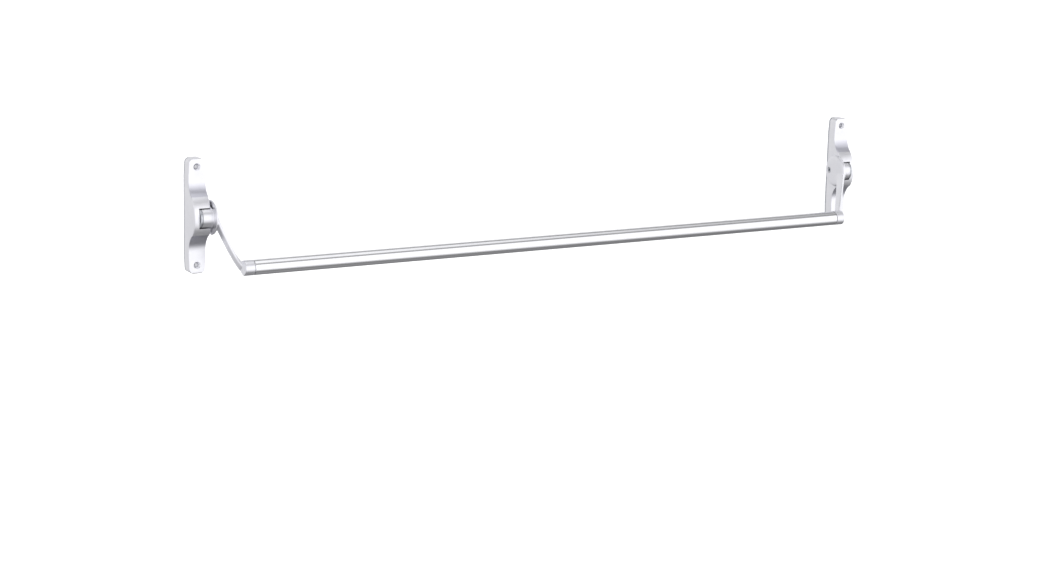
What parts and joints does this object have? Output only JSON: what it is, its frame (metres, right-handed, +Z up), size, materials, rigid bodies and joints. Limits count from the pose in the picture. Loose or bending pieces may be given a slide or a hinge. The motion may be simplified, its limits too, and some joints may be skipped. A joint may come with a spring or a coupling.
{
  "type": "panic exit bar",
  "caption": "Crossbar panic exit device: a round push bar carried by a sprung lever arm at each end, pivoting in cast end brackets, with a lift slide for concealed rods.",
  "frame": {"origin": "centre of the lock-side bracket's back face, where it lies on the door", "axes": "+X along the crossbar towards the lock side, +Y into the door, +Z up"},
  "size_m": [1.138, 0.0961, 0.165],
  "materials": {
    "cast_aluminium": "satin",
    "bar_aluminium": "fine lengthwise brushed satin",
    "zinc_steel": "zinc plated",
    "dark_steel": "black oxide",
    "spring_steel": "drawn wire",
    "bronze": "sintered bronze",
    "rubber": "matt"
  },
  "bodies": {
    "bracket": {"hinge_housing": "cast_aluminium", "hinge_back_plate": "zinc_steel", "hinge_plate_screw_upper": "dark_steel", "hinge_plate_screw_lower": "dark_steel", "hinge_pivot_shaft": "zinc_steel", "hinge_rest_bumper": "rubber", "lock_housing": "cast_aluminium", "lock_back_plate": "zinc_steel", "lock_plate_screw_upper": "dark_steel", "lock_plate_screw_lower": "dark_steel", "lock_pivot_shaft": "zinc_steel", "lock_rest_bumper": "rubber", "hinge_press_bumper": "rubber", "slide_guide_upper": "zinc_steel", "slide_guide_lower": "zinc_steel", "slide_spring": "spring_steel"},
    "push_bar": {"hinge_lever_arm": "cast_aluminium", "hinge_outer_bush": "bronze", "hinge_inner_bush": "bronze", "hinge_thrust_washer": "bronze", "hinge_torsion_spring": "spring_steel", "hinge_tube_screw_outer": "dark_steel", "hinge_tube_screw_inner": "dark_steel", "lock_lever_arm": "cast_aluminium", "lock_outer_bush": "bronze", "lock_inner_bush": "bronze", "lock_thrust_washer": "bronze", "lock_torsion_spring": "spring_steel", "lock_tube_screw_outer": "dark_steel", "lock_tube_screw_inner": "dark_steel", "crossbar_tube": "bar_aluminium", "hinge_stop_collar": "zinc_steel", "lock_drive_cam": "zinc_steel"},
    "lift_slide": {"lift_slide": "zinc_steel"},
    "dogging_screw": {"dogging_screw": "zinc_steel"}
  },
  "joints": [
    {"name": "push_hinge", "type": "hinge", "parent": "bracket", "child": "push_bar", "pos_m": [0, -0.031, 0], "axis": [1, 0, 0], "range_deg": [0, 22], "stiffness_Nm_per_rad": 6, "springref_deg": -22.92},
    {"name": "lift_travel", "type": "slide", "parent": "bracket", "child": "lift_slide", "axis": [0, 0, 1], "range_m": [0, 0.0095], "stiffness_N_per_m": 300, "springref_m": -0.012, "deforming": ["slide_spring"]},
    {"name": "dogging_turn", "type": "hinge", "parent": "push_bar", "child": "dogging_screw", "pos_m": [0, -0.018, 0], "axis": [1, 0, 0], "range_deg": [0, 90]}
  ],
  "couplings": [
    {"joint": "lift_travel", "follows": "push_hinge", "m_per_rad": 0.023}
  ]
}
